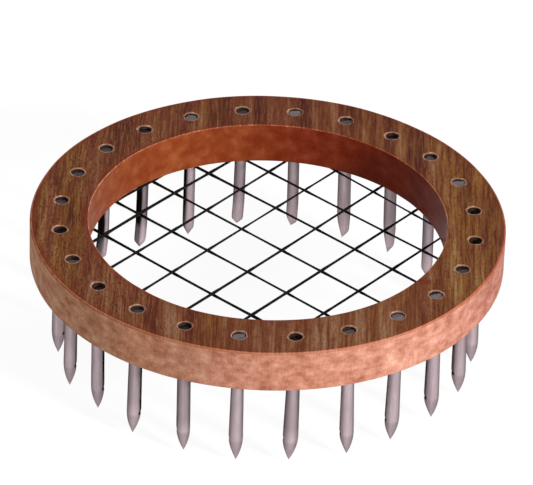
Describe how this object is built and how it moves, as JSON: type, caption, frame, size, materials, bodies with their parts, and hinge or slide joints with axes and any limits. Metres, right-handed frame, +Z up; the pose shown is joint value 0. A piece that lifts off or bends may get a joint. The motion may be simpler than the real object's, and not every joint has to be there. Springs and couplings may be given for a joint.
{
  "type": "press-in nail ring with a cord net",
  "caption": "Round wooden ring with headless steel nails driven down through it and a black cord net laced across its opening, made to be pressed into comb or foam.",
  "frame": {"origin": "on the ring's axis, at the height of the longest nail's tip, where the part stands", "axes": "+Z up along the ring's axis, from the nail tips to the ring's top face; the lower cords of the net run nearly along X and the upper ones nearly along Y"},
  "size_m": [0.09, 0.09, 0.0286],
  "materials": {
    "ring_wood": "oiled, turned",
    "nail_steel": "satin wire",
    "net_cord": "twisted, matte"
  },
  "bodies": {
    "root": {"wood_ring": "ring_wood", "nail_01": "nail_steel", "nail_02": "nail_steel", "nail_03": "nail_steel", "nail_04": "nail_steel", "nail_05": "nail_steel", "nail_06": "nail_steel", "nail_07": "nail_steel", "nail_08": "nail_steel", "nail_09": "nail_steel", "nail_10": "nail_steel", "nail_11": "nail_steel", "nail_12": "nail_steel", "nail_13": "nail_steel", "nail_14": "nail_steel", "nail_15": "nail_steel", "nail_16": "nail_steel", "nail_17": "nail_steel", "nail_18": "nail_steel", "nail_19": "nail_steel", "nail_20": "nail_steel", "nail_21": "nail_steel", "nail_22": "nail_steel", "nail_23": "nail_steel", "nail_24": "nail_steel", "upper_cord_1": "net_cord", "upper_cord_2": "net_cord", "upper_cord_3": "net_cord", "upper_cord_4": "net_cord", "upper_cord_5": "net_cord", "upper_cord_6": "net_cord", "upper_cord_7": "net_cord", "upper_cord_8": "net_cord", "upper_cord_9": "net_cord", "lower_cord_1": "net_cord", "lower_cord_2": "net_cord", "lower_cord_3": "net_cord", "lower_cord_4": "net_cord", "lower_cord_5": "net_cord", "lower_cord_6": "net_cord", "lower_cord_7": "net_cord", "lower_cord_8": "net_cord"}
  },
  "joints": []
}
